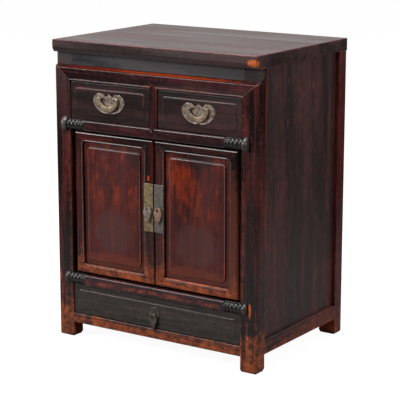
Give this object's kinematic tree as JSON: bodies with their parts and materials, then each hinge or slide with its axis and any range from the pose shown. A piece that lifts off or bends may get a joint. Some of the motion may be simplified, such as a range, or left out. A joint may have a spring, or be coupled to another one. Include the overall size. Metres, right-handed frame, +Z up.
{
  "type": "side cupboard",
  "caption": "Low lacquered wooden cupboard with small drawers over pivoted panelled doors, a wide drawer below, ribbed bosses on its rails and swinging brass pulls.",
  "frame": {"origin": "on the floor under the middle of the whole cupboard, its bosses included", "axes": "+Z up, the front with its doors and drawers faces -Y, +X to the right of someone who stands before it"},
  "size_m": [0.56, 0.41, 0.72],
  "materials": {
    "dark_lacquer": "worn satin lacquer",
    "red_lacquer": "worn satin lacquer",
    "olive_black_lacquer": "satin lacquer",
    "bare_wood": "planed, unfinished",
    "aged_brass": "tarnished, rubbed"
  },
  "bodies": {
    "case": {"post_front_left": "dark_lacquer", "post_front_right": "dark_lacquer", "post_back_left": "dark_lacquer", "post_back_right": "dark_lacquer", "top_front": "dark_lacquer", "top_back": "dark_lacquer", "top_ends": "dark_lacquer", "top_panel": "dark_lacquer", "top_batten": "bare_wood", "waist_band": "dark_lacquer", "top_rail": "dark_lacquer", "middle_rail": "dark_lacquer", "lower_rail": "dark_lacquer", "bottom_rail": "dark_lacquer", "muntin": "dark_lacquer", "side_rail_left": "dark_lacquer", "side_rail_right": "dark_lacquer", "side_panel_left": "dark_lacquer", "side_panel_right": "dark_lacquer", "back_bottom_rail": "dark_lacquer", "back_rails": "bare_wood", "back_panel": "dark_lacquer", "dust_board": "bare_wood", "cupboard_floor": "bare_wood", "drawer_runners": "bare_wood"},
    "left_top_drawer": {"left_drawer_front": "dark_lacquer", "left_drawer_sides": "bare_wood", "left_drawer_back": "bare_wood", "left_drawer_bottom": "bare_wood", "left_drawer_plate": "aged_brass", "left_drawer_eye_pins": "aged_brass"},
    "right_top_drawer": {"right_drawer_front": "dark_lacquer", "right_drawer_sides": "bare_wood", "right_drawer_back": "bare_wood", "right_drawer_bottom": "bare_wood", "right_drawer_plate": "aged_brass", "right_drawer_eye_pins": "aged_brass"},
    "bottom_drawer": {"bottom_drawer_front": "olive_black_lacquer", "bottom_drawer_sides": "bare_wood", "bottom_drawer_back": "bare_wood", "bottom_drawer_bottom": "bare_wood", "bottom_drawer_plate": "aged_brass", "bottom_drawer_eye_pin": "aged_brass"},
    "left_door": {"left_door_hinge_stile": "dark_lacquer", "left_door_meeting_stile": "dark_lacquer", "left_door_rails": "dark_lacquer", "left_door_panel": "red_lacquer", "left_door_plate": "aged_brass", "left_door_eye_pin": "aged_brass"},
    "right_door": {"right_door_hinge_stile": "dark_lacquer", "right_door_meeting_stile": "dark_lacquer", "right_door_rails": "dark_lacquer", "right_door_panel": "red_lacquer", "right_door_plate": "aged_brass", "right_door_eye_pin": "aged_brass"},
    "left_bail": {"left_drawer_bail": "aged_brass"},
    "right_bail": {"right_drawer_bail": "aged_brass"},
    "left_door_pendant": {"left_door_pendant": "aged_brass"},
    "right_door_pendant": {"right_door_pendant": "aged_brass"},
    "bottom_drawer_pendant": {"bottom_drawer_pendant": "aged_brass"}
  },
  "joints": [
    {"name": "left_top_drawer_slide", "type": "slide", "parent": "case", "child": "left_top_drawer", "axis": [0, -1, 0], "range_m": [0, 0.24]},
    {"name": "right_top_drawer_slide", "type": "slide", "parent": "case", "child": "right_top_drawer", "axis": [0, -1, 0], "range_m": [0, 0.24]},
    {"name": "bottom_drawer_slide", "type": "slide", "parent": "case", "child": "bottom_drawer", "axis": [0, -1, 0], "range_m": [0, 0.24]},
    {"name": "left_door_hinge", "type": "hinge", "parent": "case", "child": "left_door", "pos_m": [-0.22, -0.177, 0.33625], "axis": [0, 0, -1], "range_deg": [0, 105]},
    {"name": "right_door_hinge", "type": "hinge", "parent": "case", "child": "right_door", "pos_m": [0.22, -0.177, 0.33625], "axis": [0, 0, 1], "range_deg": [0, 105]},
    {"name": "left_bail_swing", "type": "hinge", "parent": "left_top_drawer", "child": "left_bail", "pos_m": [-0.124, -0.1941, 0.59125], "axis": [-1, 0, 0], "range_deg": [0, 120]},
    {"name": "right_bail_swing", "type": "hinge", "parent": "right_top_drawer", "child": "right_bail", "pos_m": [0.124, -0.1941, 0.59125], "axis": [-1, 0, 0], "range_deg": [0, 120]},
    {"name": "left_door_pendant_swing", "type": "hinge", "parent": "left_door", "child": "left_door_pendant", "pos_m": [-0.0145, -0.1931, 0.34925], "axis": [-1, 0, 0], "range_deg": [0, 100]},
    {"name": "right_door_pendant_swing", "type": "hinge", "parent": "right_door", "child": "right_door_pendant", "pos_m": [0.0145, -0.1931, 0.34925], "axis": [-1, 0, 0], "range_deg": [0, 100]},
    {"name": "bottom_drawer_pendant_swing", "type": "hinge", "parent": "bottom_drawer", "child": "bottom_drawer_pendant", "pos_m": [0, -0.1941, 0.09475], "axis": [-1, 0, 0], "range_deg": [0, 100]}
  ]
}
